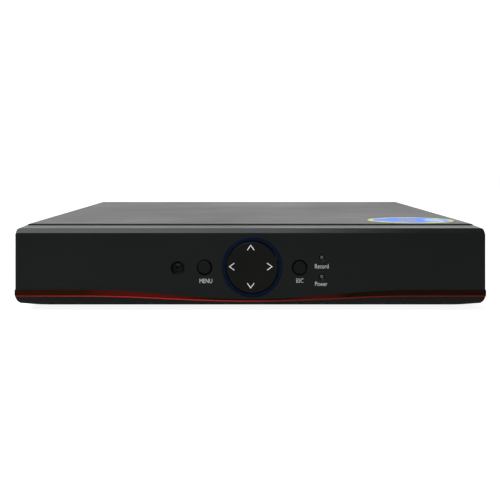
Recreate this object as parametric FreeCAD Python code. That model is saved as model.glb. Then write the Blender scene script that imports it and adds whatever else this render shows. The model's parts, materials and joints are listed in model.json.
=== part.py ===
"""Compact digital video recorder: a moulded front panel with a direction pad, a folded steel case,
a main board with its rear sockets, and a hard drive.

Millimetres. +X is the width, +Y runs from the front panel to the rear wall, +Z is up.
The origin is on the table, under the middle of the whole object.
Depths (d) are counted backwards from the panel's front face, heights (z) upwards from the table.
"""
import FreeCAD, Part
import math
import os

from FreeCAD import Vector

# ---------------------------------------------------------------- driving dimensions
PANEL_W = 255.3             # front panel, the widest part
PANEL_D = 18.0
PANEL_TOP = 41.7            # at its back edge, above the underside of the case
CASE_W = 253.9
CASE_D = 220.0              # front face to the outside of the rear wall
CASE_H = 42.4
FOOT_H = 3.5
COVER_T = 0.8
TRAY_T = 1.0
WALL = 2.2                  # panel moulding
COVER_BEND = 1.5
FIT = 0.1                   # gap between folded sheets
PANEL_GAP = 0.5             # shadow gap between the panel and the cover
CAP_PROUD = 1.0             # direction pad in front of the panel face
BNC_OUT = 11.0              # jack barrels beyond the rear wall

# heights and depths that follow from them
BASE = FOOT_H               # underside of the case
TOP = BASE + CASE_H
FLOOR = BASE + TRAY_T
INNER_TOP = TOP - COVER_T
FACE_Y = (CAP_PROUD - CASE_D - BNC_OUT) / 2
WALL_D = CASE_D - TRAY_T    # inner face of the rear wall
COVER_FRONT = PANEL_D + PANEL_GAP
COVER_HALF = CASE_W / 2
TRAY_HALF = COVER_HALF - COVER_T - FIT

# panel face
FACE_TOP = BASE + 39.08
CHAMFER_D = 2.5
CHAMFER_TOP = BASE + 41.48
CORNER_R = 2.0              # top corners at the front, sharper at the back of the panel
CORNER_R_BACK = 1.0
EDGE_BEVEL = (0.5, 0.8)     # inset and depth of the bevel round the face
RIB_D = 10.0
CLIP_X = (-100.0, -60.0, 60.0, 100.0)
LIP_BACK = 1.5              # how far the bottom of the lower lip lies behind the face
STRIP_D = 2.2
WAVE_HALF = 90.0            # the wave in the red strip runs this far from the middle
STRIP_TOP_LOW, STRIP_TOP_HIGH = BASE + 3.2, BASE + 8.3
STRIP_LOW, STRIP_HIGH = BASE + 1.65, BASE + 4.35
STRIP_BEVEL = 0.8
STRIP_PROUD = 0.1
STRIP_GAP = 0.03

# controls
PAD_X, PAD_Z = 1.0, BASE + 20.5
PAD_R = 13.85
RING_IN, RING_OUT = 14.3, 16.4
RING_FLANGE = 16.7
PAD_POCKET = 16.85          # recess behind the wall for the ring and the gimbal
GIMBAL_IN, GIMBAL_OUT = 14.6, 16.0
PIVOT_D = 4.6               # depth of both tilt axes of the pad
PIN_R = 0.7
PIN_CLEAR = 0.05
KEY_REACH = 8.5             # from the pad's centre to each switch
BUTTONS = {"menu": (PAD_X - 25.75, BASE + 20.3), "esc": (PAD_X + 25.7, BASE + 20.3)}
BUTTON_R = 3.45
BUTTON_HOLE_R = 4.0
BUTTON_PROUD = 0.5
BUTTON_SIT = {"menu": (-0.2, 0.15), "esc": (0.2, -0.15)}    # how each cap sits in its hole
EYE_X, EYE_Z = PAD_X - 40.4, BASE + 20.0
EYE_R = 3.8
LED_X = PAD_X + 37.9
LED_Z = {"record": BASE + 25.7, "power": BASE + 15.25}
LED_R = 1.35

# key board behind the panel
KEY_BOARD_D = 8.2
BOARD_T = 1.6
KEY_BOARD_HALF = 47.0
KEY_BOARD_Z = (BASE + 6.2, BASE + 36.2)
SWITCH_SIDE = 6.0
SWITCH_H = 3.5
PLUNGER_R = 1.75
PLUNGER_TIP_D = 3.9
PLUNGER_L = 1.5
SWITCH_D = KEY_BOARD_D - SWITCH_H

# hard drive, on its pads
DRIVE_L, DRIVE_W, DRIVE_H = 147.0, 101.6, 26.1
DRIVE_X, DRIVE_D = -118.0, 28.0
PAD_H = 2.0
DRIVE_Z = FLOOR + PAD_H
SPINDLE = (50.8, 50.8)      # from the drive's corner
ARM_PIVOT = (108.0, 24.0)
ARM_L = 52.0
ARM_PARK = 105.7            # degrees from +X
PLATTER_R = 47.5
DRIVE_FLOOR, DRIVE_LID = 5.0, 1.5
DRIVE_HOLES = [(147.0 - 41.28 - 44.45 * i, 50.8 + 47.625 * s) for i in (0, 1) for s in (-1, 1)]

# main board and rear sockets
POST_H = 6.0
BOARD_X = (-114.0, 108.0)
BOARD_D = (132.0, 216.0)
BOARD_Z = FLOOR + POST_H
DECK = BOARD_Z + BOARD_T    # top of the main board
POSTS = [(x, d) for x in (-109.0, -3.0, 103.0) for d in (135.0, 198.0)]
SCREW_R = 1.45
HOLE_R = 1.5
BNC_X = [-102.0, -84.0, -66.0, -48.0]
BNC_Z = DECK + 7.5
AUDIO_X = [-30.0, -16.0]
AUDIO_Z = DECK + 7.0
MON_X, MON_Z = 8.0, DECK + 7.0
MON_PITCH = 25.0
HD_X, HD_Z = 35.0, DECK + 2.75
LAN_X, LAN_Z = 56.0, DECK + 6.8
USB_X, USB_Z = 77.0, DECK + 8.0
POWER_X, POWER_Z = 98.0, DECK + 6.5
SOCKET_GAP = 0.4            # cut-outs in the rear wall around each socket

# fixings
FEET = [(x, d) for x in (-104.0, 104.0) for d in (34.0, 196.0)]
FOOT_R = 7.0
SIDE_SCREWS = [(d, BASE + 9.0) for d in (38.0, 200.0)]
REAR_SCREW_X = [-112.0, 0.0, 112.0]
REAR_SCREW_Z = TOP - 4.0
LIP_H = 7.5

# printed label on the cover
LABEL_X, LABEL_D = 96.2, 40.3
LABEL_HALF = (25.5, 20.0)
LABEL_T = 0.12

# cables held inside the case
KEY_CABLE_X = 34.5
RIBBON_W, RIBBON_T = 8.0, 0.9
DRIVE_END = DRIVE_X + DRIVE_L
PORT_Z = DRIVE_Z + 4.0
PLUG_L = 8.0
# each drive cable: depth and half width of its port on the drive, x and half width on the board, radius
DRIVE_CABLES = {"data": (60.0, 7.0, 80.0, 7.0, 2.0), "power": (84.0, 11.0, 58.0, 6.0, 2.4)}


# ---------------------------------------------------------------- helpers
def block(x0, x1, d0, d1, z0, z1):
    return Part.makeBox(x1 - x0, d1 - d0, z1 - z0, Vector(x0, FACE_Y + d0, z0))


def rod_y(x, z, r, d0, d1):
    return Part.makeCylinder(r, d1 - d0, Vector(x, FACE_Y + d0, z), Vector(0, 1, 0))


def rod_z(x, d, r, z0, z1):
    return Part.makeCylinder(r, z1 - z0, Vector(x, FACE_Y + d, z0))


def rod_x(d, z, r, x0, x1):
    return Part.makeCylinder(r, x1 - x0, Vector(x0, FACE_Y + d, z), Vector(1, 0, 0))


def cone_y(x, z, r0, r1, d0, d1):
    return Part.makeCone(r0, r1, d1 - d0, Vector(x, FACE_Y + d0, z), Vector(0, 1, 0))


def tube_y(x, z, r_in, r_out, d0, d1):
    return rod_y(x, z, r_out, d0, d1).cut(rod_y(x, z, r_in, d0, d1))


def fuse(shapes):
    return shapes[0].multiFuse(shapes[1:]).removeSplitter()


def cut(shape, tools):
    return shape.cut(Part.makeCompound(tools))


def side_profile(points, x0, x1):
    """A solid between x0 and x1 with this outline of (depth, height) points."""
    corners = [Vector(x0, FACE_Y + d, z) for d, z in points]
    face = Part.Face(Part.makePolygon(corners + corners[:1]))
    return face.extrude(Vector(x1 - x0, 0, 0))


def front_outline(edges, d0, d1):
    """A solid between depths d0 and d1 whose outline is a closed row of edges drawn at depth 0."""
    face = Part.Face(Part.Wire(Part.__sortEdges__(edges)))
    face.translate(Vector(0, FACE_Y + d0, 0))
    return face.extrude(Vector(0, d1 - d0, 0))


def line(a, b):
    return Part.LineSegment(Vector(a[0], 0, a[1]), Vector(b[0], 0, b[1])).toShape()


def arc(a, middle, b):
    points = [Vector(x, 0, z) for x, z in (a, middle, b)]
    return Part.Arc(*points).toShape()


def curve(points, start, end):
    """A smooth curve through (x, z) points that leaves along start and arrives along end."""
    spline = Part.BSplineCurve()
    spline.interpolate(
        Points=[Vector(x, 0, z) for x, z in points],
        InitialTangent=Vector(start[0], 0, start[1]),
        FinalTangent=Vector(end[0], 0, end[1]),
    )
    return spline.toShape()


def plate_xz(x, z, w, h, r, d0, d1):
    """A rounded rectangle across the width, between two depths."""
    solid = block(x - w / 2, x + w / 2, d0, d1, z - h / 2, z + h / 2)
    return round_along(solid, r, Vector(0, 1, 0))


def round_along(shape, r, direction):
    """Fillets every straight edge that runs along direction."""
    chosen = []
    for edge in shape.Edges:
        a, b = edge.Vertexes[0].Point, edge.Vertexes[-1].Point
        run = b.sub(a)
        if run.Length > 1e-6 and run.normalize().cross(direction).Length < 1e-6:
            chosen.append(edge)
    return shape.makeFillet(r, chosen)


def round_rims(shape, r, d):
    """Fillets the circular edges that lie in the plane at depth d."""
    chosen = [e for e in shape.Edges if abs(e.BoundBox.YMin - FACE_Y - d) < 1e-4
              and abs(e.BoundBox.YMax - FACE_Y - d) < 1e-4 and e.Closed]
    return shape.makeFillet(r, chosen)


def pan_screw(place, out, shank, head_r=2.8, head_h=1.7, shank_r=SCREW_R):
    """A cross-head screw. place is under the head, out points out of the head."""
    head = Part.makeCylinder(head_r, head_h, place, out)
    rim = [e for e in head.Edges if e.Closed and e.CenterOfMass.sub(place).dot(out) > head_h / 2]
    head = head.makeFillet(head_h * 0.45, rim)
    stem = Part.makeCylinder(shank_r, shank, place, out.negative())
    across = out.cross(Vector(0, 0, 1)) if abs(out.z) < 0.5 else Vector(1, 0, 0)
    other = out.cross(across)
    slots = []
    for side, along in ((across, other), (other, across)):
        corner = place + out * (head_h * 0.5) - along * (head_r * 0.6) - side * 0.35
        foot = [corner, corner + along * (head_r * 1.2), corner + along * (head_r * 1.2) + side * 0.7,
                corner + side * 0.7]
        slots.append(Part.Face(Part.makePolygon(foot + foot[:1])).extrude(out * head_h))
    return cut(head.fuse(stem), slots)


def wave(low, high, x):
    """Height of the strip's edge: low in the middle, rising to high towards both ends."""
    share = min(abs(x) / WAVE_HALF, 1.0)
    return low + (high - low) * 0.5 * (1 - math.cos(math.pi * share))


def wave_edges(low, high, half):
    """Three edges, left to right, that follow the wave across the panel."""
    steps = 12
    xs = [WAVE_HALF * i / steps for i in range(-steps, steps + 1)]
    middle = curve([(x, wave(low, high, x)) for x in xs], (1, 0), (1, 0))
    return [line((-half, high), (-WAVE_HALF, high)), middle, line((WAVE_HALF, high), (half, high))]


def band(low_edges, high_edges, half, d0, d1):
    """The space between two waves, or below one wave, as a solid."""
    ends = [line((half, low_edges[-1].BoundBox.ZMax), (half, high_edges[-1].BoundBox.ZMax)),
            line((-half, low_edges[0].BoundBox.ZMax), (-half, high_edges[0].BoundBox.ZMax))]
    return front_outline(low_edges + high_edges + ends, d0, d1)


# ---------------------------------------------------------------- front panel and controls
def panel_section(d, half, top, r):
    """Front view of the panel at one depth: rounded top corners, lower corners that sweep up gently."""
    bend = r * (1 - math.sqrt(0.5))
    sweep, tuck = 18.0, 2.9
    edges = [line((sweep - half, BASE), (half - sweep, BASE))]
    for side in (1, -1):
        edges.append(curve([(side * (half - sweep), BASE), (side * (half - 9.0), BASE + 0.45),
                            (side * (half - tuck), BASE + 0.9)], (side, 0), (side, 0.02)))
        edges.append(arc((side * (half - tuck), BASE + 0.9), (side * (half - 1.1), BASE + 2.2),
                         (side * half, BASE + 4.7)))
        edges.append(line((side * half, BASE + 4.7), (side * half, top - r)))
        corner = [(side * half, top - r), (side * (half - bend), top - bend), (side * (half - r), top)]
        edges.append(arc(*corner))
    edges.append(line((r - half, top), (half - r, top)))
    wire = Part.Wire(Part.__sortEdges__(edges))
    wire.translate(Vector(0, FACE_Y + d, 0))
    return wire


def panel_blank():
    """The outside of the panel, before anything is cut into it."""
    half = PANEL_W / 2
    inset, bevel_d = EDGE_BEVEL
    bevel_top = FACE_TOP + bevel_d * (CHAMFER_TOP - FACE_TOP) / CHAMFER_D
    sections = [
        panel_section(0, half - inset, FACE_TOP, CORNER_R - inset),
        panel_section(bevel_d, half, bevel_top, CORNER_R),
        panel_section(CHAMFER_D, half, CHAMFER_TOP, CORNER_R),
        panel_section(PANEL_D, half, BASE + PANEL_TOP, CORNER_R_BACK),
    ]
    return Part.makeLoft(sections, True, True)


def lower_lip_tool():
    """What is taken off the face below the strip's upper edge, so that the lip leans back."""
    half = PANEL_W / 2 + 2
    below = band([line((-half, BASE - 2), (half, BASE - 2))], wave_edges(STRIP_TOP_LOW, STRIP_TOP_HIGH, half),
                 half, -2, 4)
    lean = side_profile([(-2, BASE + 9), (0.3, BASE + 9), (0.45, BASE + 4.5), (LIP_BACK * 0.8, BASE + 0.8),
                         (LIP_BACK + 1.0, BASE - 2), (-2, BASE - 2)], -half, half)
    return below.common(lean)


def strip_groove():
    half = PANEL_W / 2 + 2
    return band(wave_edges(STRIP_LOW, STRIP_HIGH, half), wave_edges(STRIP_TOP_LOW, STRIP_TOP_HIGH, half),
                half, -2, STRIP_D)


def front_panel():
    half, top = PANEL_W / 2, BASE + PANEL_TOP
    hollows = [
        block(WALL - half, half - WALL, WALL, PANEL_D + 1, BASE + 10.6, FACE_TOP + 0.6),
        block(WALL - half, half - WALL, WALL + STRIP_D, PANEL_D + 1, BASE + WALL, BASE + 10.7),
    ]
    solid = cut(panel_blank(), hollows + [lower_lip_tool(), strip_groove()])

    added = [block(-119, 119, PANEL_D - 2, PANEL_D + 3, top - 2.1, top - 0.3)]  # tongue under the cover
    for side in (-1, 1):  # tongues at the sides
        x0, x1 = sorted((side * (half - 4.0), side * (half - WALL + 0.2)))
        added.append(block(x0, x1, PANEL_D - 4, PANEL_D + 3, BASE + 17, top - 3))
    for x in CLIP_X:  # clips in the tray
        added.append(block(x - 3, x + 3, 3, PANEL_D + 3.6, BASE + 6.0, BASE + 7.6))
        added.append(block(x - 3, x + 3, PANEL_D + 1.8, PANEL_D + 3.6, BASE + 7.5, BASE + 8.6))
    for x, z in key_board_holes():
        added.append(rod_y(x, z, 2.6, WALL - 0.5, KEY_BOARD_D))
    for side in (-1, 1):  # ears of the pad's pivot
        x0, x1 = sorted((PAD_X + side * 17.7, PAD_X + side * 20.2))
        added.append(block(x0, x1, WALL - 0.5, PIVOT_D + 1.5, PAD_Z - 1.9, PAD_Z + 1.9))
    for x in (-112, -84, 84, 112):  # stiffening ribs
        added.append(block(x - 0.6, x + 0.6, WALL - 0.5, RIB_D, BASE + 10, FACE_TOP + 1))

    holes = [rod_y(PAD_X, PAD_Z, RING_OUT + 0.05, -1, WALL + 1),
             rod_y(PAD_X, PAD_Z, PAD_POCKET, WALL, PIVOT_D + 3),
             cone_y(EYE_X, EYE_Z, EYE_R, 2.75, -0.001, 1.7),
             rod_y(EYE_X, EYE_Z, 2.75, 0, WALL + 1),
             rod_x(PIVOT_D, PAD_Z, PIN_R + PIN_CLEAR, PAD_X - 25, PAD_X + 25)]
    for x, z in BUTTONS.values():
        holes.append(rod_y(x, z, BUTTON_HOLE_R, -1, WALL + 1))
        holes.append(cone_y(x, z, BUTTON_HOLE_R + 0.35, BUTTON_HOLE_R, -0.001, 0.35))
    for z in LED_Z.values():
        holes.append(rod_y(LED_X, z, LED_R + 0.1, -1, WALL + 1))
        holes.append(cone_y(LED_X, z, LED_R + 0.45, LED_R + 0.1, -0.001, 0.4))
    holes += [rod_y(x, z, 0.9, WALL + 0.6, KEY_BOARD_D + 1) for x, z in key_board_holes()]
    return cut(fuse([solid] + added), holes)


def red_trim_strip():
    """Translucent strip in the groove, a little proud of the face, its lower front edge bevelled."""
    half = PANEL_W / 2 + STRIP_PROUD
    low = wave_edges(STRIP_LOW + STRIP_GAP, STRIP_HIGH + STRIP_GAP, half)
    high = wave_edges(STRIP_TOP_LOW - STRIP_GAP, STRIP_TOP_HIGH - STRIP_GAP, half)
    solid = band(low, high, half, -STRIP_PROUD, STRIP_D - STRIP_GAP)
    front_low = [e for e in solid.Edges if abs(e.BoundBox.YMax - FACE_Y + STRIP_PROUD) < 1e-3
                 and e.BoundBox.XLength > 20 and e.BoundBox.ZMax < STRIP_HIGH + 0.2]
    return solid.makeChamfer(STRIP_BEVEL, front_low)


def dpad_ring():
    """Blue light ring with a flange behind the panel wall."""
    ring = tube_y(PAD_X, PAD_Z, RING_IN, RING_OUT, -0.15, WALL + 0.6)
    flange = tube_y(PAD_X, PAD_Z, RING_IN, RING_FLANGE, WALL + 0.02, WALL + 0.6)
    solid = ring.fuse(flange).removeSplitter()
    return round_rims(solid, 0.3, -0.15)


def dpad_cap():
    """Direction pad: a dished disc on a skirt, with a nub over each switch and two pins for the gimbal."""
    disc = round_rims(rod_y(PAD_X, PAD_Z, PAD_R, -CAP_PROUD, 2.0), 0.5, -CAP_PROUD)
    dish_r = 130.0
    dish = Part.makeSphere(dish_r, Vector(PAD_X, FACE_Y - CAP_PROUD + 0.25 - dish_r, PAD_Z))
    disc = disc.cut(dish)
    skirt = tube_y(PAD_X, PAD_Z, 12.2, 13.6, 1.5, PIVOT_D + 1.0)
    pins = [Part.makeCylinder(PIN_R, 3.3, Vector(PAD_X, FACE_Y + PIVOT_D, PAD_Z + side * 12.9),
                              Vector(0, 0, side)) for side in (-1, 1)]
    nubs = [rod_y(PAD_X + KEY_REACH * math.cos(a), PAD_Z + KEY_REACH * math.sin(a), 1.0, 1.5,
                  PLUNGER_TIP_D - 0.06) for a in (0, math.pi / 2, math.pi, -math.pi / 2)]
    return fuse([disc, skirt] + pins + nubs)


def dpad_gimbal():
    """Ring that tilts in the panel's ears and carries the pad's own pins."""
    ring = tube_y(PAD_X, PAD_Z, GIMBAL_IN, GIMBAL_OUT, PIVOT_D - 0.6, PIVOT_D + 1.0)
    bosses = [Part.makeCylinder(1.1, 1.5, Vector(PAD_X, FACE_Y + PIVOT_D, PAD_Z + side * 14.7),
                                Vector(0, 0, side)) for side in (-1, 1)]
    pins = [Part.makeCylinder(PIN_R, 4.5, Vector(PAD_X + side * 15.5, FACE_Y + PIVOT_D, PAD_Z),
                              Vector(side, 0, 0)) for side in (-1, 1)]
    bore = Part.makeCylinder(PIN_R + PIN_CLEAR, 40, Vector(PAD_X, FACE_Y + PIVOT_D, PAD_Z - 20))
    return fuse([ring] + bosses + pins).cut(bore)


def button(name):
    """Round key cap with a retaining flange and a foot that rests on its switch."""
    x, z = [a + b for a, b in zip(BUTTONS[name], BUTTON_SIT[name])]
    cap = round_rims(rod_y(x, z, BUTTON_R, -BUTTON_PROUD, WALL + 0.9), 0.4, -BUTTON_PROUD)
    flange = rod_y(x, z, BUTTON_R + 0.95, WALL + 0.15, WALL + 0.9)
    foot = rod_y(x, z, 1.5, WALL + 0.5, PLUNGER_TIP_D)
    return fuse([cap, flange, foot])


def ir_receiver():
    """Receiver eye: a shallow dome with a pit in the middle, on a square body."""
    dome = rod_y(EYE_X, EYE_Z, 2.6, 1.5, WALL + 1.2)
    ball = Part.makeSphere(4.2, Vector(EYE_X, FACE_Y + 5.0, EYE_Z))
    nose = rod_y(EYE_X, EYE_Z, 2.6, 0.5, WALL).common(ball)
    body = block(EYE_X - 3.1, EYE_X + 3.1, WALL + 0.3, 5.4, EYE_Z - 3.6, EYE_Z + 3.6)
    pit = cone_y(EYE_X, EYE_Z + 0.2, 1.25, 0.5, 0.6, 2.4)
    legs = [block(EYE_X + i - 0.25, EYE_X + i + 0.25, 5.3, KEY_BOARD_D, EYE_Z - 0.25, EYE_Z + 0.25)
            for i in (-2.0, 0, 2.0)]
    return fuse([dome, nose, body] + legs).cut(pit)


def led(name):
    z = LED_Z[name]
    barrel = rod_y(LED_X, z, LED_R, 1.4, 5.0)
    tip = Part.makeSphere(LED_R, Vector(LED_X, FACE_Y + 1.4, z))
    collar = rod_y(LED_X, z, LED_R + 0.3, 4.4, 5.2)
    legs = [block(LED_X + i - 0.25, LED_X + i + 0.25, 5.1, KEY_BOARD_D, z - 0.25, z + 0.25)
            for i in (-0.7, 0.7)]
    return fuse([barrel, tip, collar] + legs)


# ---------------------------------------------------------------- key board
def key_board_holes():
    return [(x, z) for x in (-44.0, 44.0) for z in (KEY_BOARD_Z[0] + 3.2, KEY_BOARD_Z[1] - 3.2)]


def key_places():
    """Where each switch sits, by name."""
    places = dict(BUTTONS)
    places["up"] = (PAD_X, PAD_Z + KEY_REACH)
    places["down"] = (PAD_X, PAD_Z - KEY_REACH)
    places["left"] = (PAD_X - KEY_REACH, PAD_Z)
    places["right"] = (PAD_X + KEY_REACH, PAD_Z)
    return places


def key_board():
    board = block(-KEY_BOARD_HALF, KEY_BOARD_HALF, KEY_BOARD_D, KEY_BOARD_D + BOARD_T, *KEY_BOARD_Z)
    board = round_along(board, 1.5, Vector(0, 1, 0))
    return cut(board, [rod_y(x, z, 1.1, 0, 20) for x, z in key_board_holes()])


def key_switches():
    made = []
    for x, z in key_places().values():
        body = block(x - SWITCH_SIDE / 2, x + SWITCH_SIDE / 2, SWITCH_D, KEY_BOARD_D, z - SWITCH_SIDE / 2,
                     z + SWITCH_SIDE / 2)
        body = round_along(body, 0.4, Vector(0, 1, 0))
        well = rod_y(x, z, PLUNGER_R + PIN_CLEAR, SWITCH_D - 1, PLUNGER_TIP_D + PLUNGER_L + 0.5)
        made.append(body.cut(well))
    return Part.makeCompound(made)


def plunger(name):
    x, z = key_places()[name]
    return rod_y(x, z, PLUNGER_R, PLUNGER_TIP_D, PLUNGER_TIP_D + PLUNGER_L)


def key_board_screws():
    back = KEY_BOARD_D + BOARD_T
    return Part.makeCompound([
        pan_screw(Vector(x, FACE_Y + back, z), Vector(0, 1, 0), 5.0, head_r=2.0, head_h=1.3, shank_r=0.85)
        for x, z in key_board_holes()])


# ---------------------------------------------------------------- case
def cover_profile(d0, d1, inset, foot):
    """Solid block with the cover's bent section, drawn in by inset, down to height foot."""
    half, top, r = COVER_HALF - inset, TOP - inset, max(COVER_BEND - inset, 0.3)
    bend = r * (1 - math.sqrt(0.5))
    edges = [line((-half, foot), (half, foot)), line((half, foot), (half, top - r)),
             arc((half, top - r), (half - bend, top - bend), (half - r, top)),
             line((half - r, top), (r - half, top)),
             arc((r - half, top), (bend - half, top - bend), (-half, top - r)),
             line((-half, top - r), (-half, foot))]
    return front_outline(edges, d0, d1)


def side_vents(x0, x1):
    """Two groups of upright slots in a side wall."""
    slots = []
    for start in (58.0, 128.0):
        for i in range(10):
            d = start + 5.5 * i
            slot = block(x0, x1, d, d + 2.2, BASE + 16, BASE + 34)
            slots.append(round_along(slot, 1.05, Vector(1, 0, 0)))
    return slots


def top_cover():
    rear = CASE_D + FIT
    shell = cover_profile(COVER_FRONT, rear + COVER_T, 0, BASE)
    hollow = cover_profile(COVER_FRONT - 1, rear, COVER_T, BASE - 1)
    tail = block(-200, 200, rear - 0.01, rear + 2, BASE - 1, TOP - LIP_H)
    holes = [rod_x(d, z, HOLE_R + 0.2, -200, 200) for d, z in SIDE_SCREWS]
    holes += [rod_y(x, REAR_SCREW_Z, HOLE_R + 0.2, rear - 2, rear + 2) for x in REAR_SCREW_X]
    holes += side_vents(-COVER_HALF - 1, -COVER_HALF + 2) + side_vents(COVER_HALF - 2, COVER_HALF + 1)
    return cut(shell, [hollow, tail] + holes)


def socket_cutouts():
    """Openings in the rear wall."""
    d0, d1, gap = WALL_D - 1, CASE_D + 1, SOCKET_GAP
    cuts = [rod_y(x, BNC_Z, 6.5, d0, d1) for x in BNC_X]
    cuts += [rod_y(x, AUDIO_Z, 4.5, d0, d1) for x in AUDIO_X]
    cuts.append(plate_xz(MON_X, MON_Z, 18.0, 9.6, 2.0, d0, d1))
    cuts += [rod_y(MON_X + s * MON_PITCH / 2, MON_Z, 1.7, d0, d1) for s in (-1, 1)]
    cuts.append(plate_xz(HD_X, HD_Z, 15.0 + 2 * gap, 6.0 + 2 * gap, 0.8, d0, d1))
    cuts.append(plate_xz(LAN_X, LAN_Z, 16.2 + 2 * gap, 13.6 + 2 * gap, 0.5, d0, d1))
    cuts.append(plate_xz(USB_X, USB_Z, 14.6 + 2 * gap, 16.0 + 2 * gap, 0.5, d0, d1))
    cuts.append(rod_y(POWER_X, POWER_Z, 5.2 + gap, d0, d1))
    return cuts


def base_tray():
    """Folded steel tray: floor, low sides, front wall, full-height rear wall, pressed posts and pads."""
    half, t = TRAY_HALF, TRAY_T
    side_top = BASE + 14.0
    wall_top = INNER_TOP - FIT
    sheets = [
        block(-half, half, COVER_FRONT, CASE_D, BASE, FLOOR),
        block(-half, -half + t, COVER_FRONT + 4, CASE_D, BASE, side_top),
        block(half - t, half, COVER_FRONT + 4, CASE_D, BASE, side_top),
        cover_profile(WALL_D, CASE_D, COVER_T + FIT, BASE),
        block(-120.5, 120.5, PANEL_D + 0.4, PANEL_D + 0.4 + t, BASE, BASE + 36),
        block(-118, 118, PANEL_D + 0.4, PANEL_D + 6.4, BASE + 35, BASE + 36),           # stiffening flange
        block(-117, 117, WALL_D - 7, CASE_D, wall_top - t, wall_top),
    ]
    posts = [rod_z(x, d, 3.0, BASE, BOARD_Z) for x, d in POSTS]
    posts += [rod_z(DRIVE_X + x, DRIVE_D + d, 5.0, BASE, DRIVE_Z) for x, d in DRIVE_HOLES]
    for d, z in SIDE_SCREWS:
        posts.append(rod_x(d, z, 2.8, -half, -half + t + 2.2))
        posts.append(rod_x(d, z, 2.8, half - t - 2.2, half))
    posts += [rod_y(x, REAR_SCREW_Z, 2.8, WALL_D - 2.0, CASE_D) for x in REAR_SCREW_X]
    solid = fuse(sheets + posts)

    holes = socket_cutouts()
    holes += [rod_z(x, d, HOLE_R, BASE - 1, BOARD_Z + 1) for x, d in POSTS]
    holes += [rod_z(DRIVE_X + x, DRIVE_D + d, HOLE_R + 0.1, BASE - 1, DRIVE_Z + 1) for x, d in DRIVE_HOLES]
    holes += [rod_x(d, z, HOLE_R, -200, 200) for d, z in SIDE_SCREWS]
    holes += [rod_y(x, REAR_SCREW_Z, HOLE_R, WALL_D - 4, CASE_D + 1) for x in REAR_SCREW_X]
    holes += [block(x - 3.6, x + 3.6, PANEL_D - 1, PANEL_D + 3, BASE + 5.4, BASE + 9.2) for x in CLIP_X]
    holes.append(plate_xz(KEY_CABLE_X, BASE + 10, 18, 12, 1.5, PANEL_D - 1, PANEL_D + 3))
    for x in (-80.0, -35.0, 10.0):  # air holes in the front wall
        holes += [plate_xz(x + 6 * i, BASE + 25, 2.4, 14, 1.1, PANEL_D - 1, PANEL_D + 3)
                  for i in range(-3, 4)]
    for x in (-60.0, 55.0):  # air slots in the floor
        for i in range(-5, 6):
            slot = block(x + 5 * i - 1.1, x + 5 * i + 1.1, 150, 178, BASE - 1, FLOOR + 1)
            holes.append(round_along(slot, 1.05, Vector(0, 0, 1)))
    return cut(solid, holes)


def cover_screws():
    rear = CASE_D + FIT + COVER_T
    made = []
    for d, z in SIDE_SCREWS:
        for s in (-1, 1):
            made.append(pan_screw(Vector(s * COVER_HALF, FACE_Y + d, z), Vector(s, 0, 0), 4.5))
    for x in REAR_SCREW_X:
        made.append(pan_screw(Vector(x, FACE_Y + rear, REAR_SCREW_Z), Vector(0, 1, 0), 4.5))
    return Part.makeCompound(made)


def rubber_feet():
    made = []
    for x, d in FEET:
        foot = Part.makeCone(FOOT_R - 0.8, FOOT_R, FOOT_H, Vector(x, FACE_Y + d, 0))
        rim = [e for e in foot.Edges if e.Closed and e.BoundBox.ZMax < 0.01]
        made.append(foot.makeFillet(0.6, rim))
    return Part.makeCompound(made)


def cover_label():
    """Oval sticker on the cover's front right corner."""
    oval = Part.Ellipse(Vector(LABEL_X, FACE_Y + LABEL_D, TOP), *LABEL_HALF)
    return Part.Face(Part.Wire(oval.toShape())).extrude(Vector(0, 0, LABEL_T))


# ---------------------------------------------------------------- main board
def main_board():
    board = block(*BOARD_X, *BOARD_D, BOARD_Z, DECK)
    board = round_along(board, 2.0, Vector(0, 0, 1))
    return cut(board, [rod_z(x, d, HOLE_R + 0.15, BOARD_Z - 1, DECK + 1) for x, d in POSTS])


def inside_screws():
    """Zinc screws: six hold the main board, four the drive from below, and four small ones its lid."""
    made = [pan_screw(Vector(x, FACE_Y + d, DECK), Vector(0, 0, 1), 5.5) for x, d in POSTS]
    for x, d in DRIVE_HOLES:
        made.append(pan_screw(Vector(DRIVE_X + x, FACE_Y + DRIVE_D + d, BASE), Vector(0, 0, -1), 6.5))
    made += [lid_screw(x, d) for x, d in lid_screw_places()]
    return Part.makeCompound(made)


def lid_screw(x, d):
    """Small screw with its head on the rim of the drive's lid."""
    seat = DRIVE_H - 0.4
    head = drive_rod(x, d, 1.7, seat, seat + 0.7)
    return head.fuse(drive_rod(x, d, 0.95, seat - 4.5, seat)).removeSplitter()


def chip(x, d, w, l, h):
    return block(x - w / 2, x + w / 2, d - l / 2, d + l / 2, DECK, DECK + h)


def processor():
    return round_along(chip(40, 165, 19, 19, 1.6), 0.5, Vector(0, 0, 1))


def board_chips():
    """Memory, video decoder, network and flash chips."""
    places = [(14, 158, 9, 13, 1.1), (14, 174, 9, 13, 1.1), (-58, 184, 14, 14, 1.2), (-88, 184, 14, 14, 1.2),
              (66, 186, 7, 7, 1.0), (70, 160, 8, 5.5, 1.5), (-25, 185, 6, 5, 1.4), (88, 172, 6, 5, 1.4)]
    return Part.makeCompound([round_along(chip(*p), 0.3, Vector(0, 0, 1)) for p in places])


def heatsink():
    """Finned aluminium block on the processor."""
    x, d, side, foot = 40.0, 165.0, 34.0, DECK + 1.6
    plate = block(x - side / 2, x + side / 2, d - side / 2, d + side / 2, foot, foot + 2.5)
    pitch = side / 8
    fins = [block(x - side / 2 + pitch * i, x - side / 2 + pitch * i + 1.4, d - side / 2, d + side / 2, foot,
                  foot + 12) for i in range(8)]
    cap = block(x + side / 2 - 1.4, x + side / 2, d - side / 2, d + side / 2, foot, foot + 12)
    return fuse([plate, cap] + fins)


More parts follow.
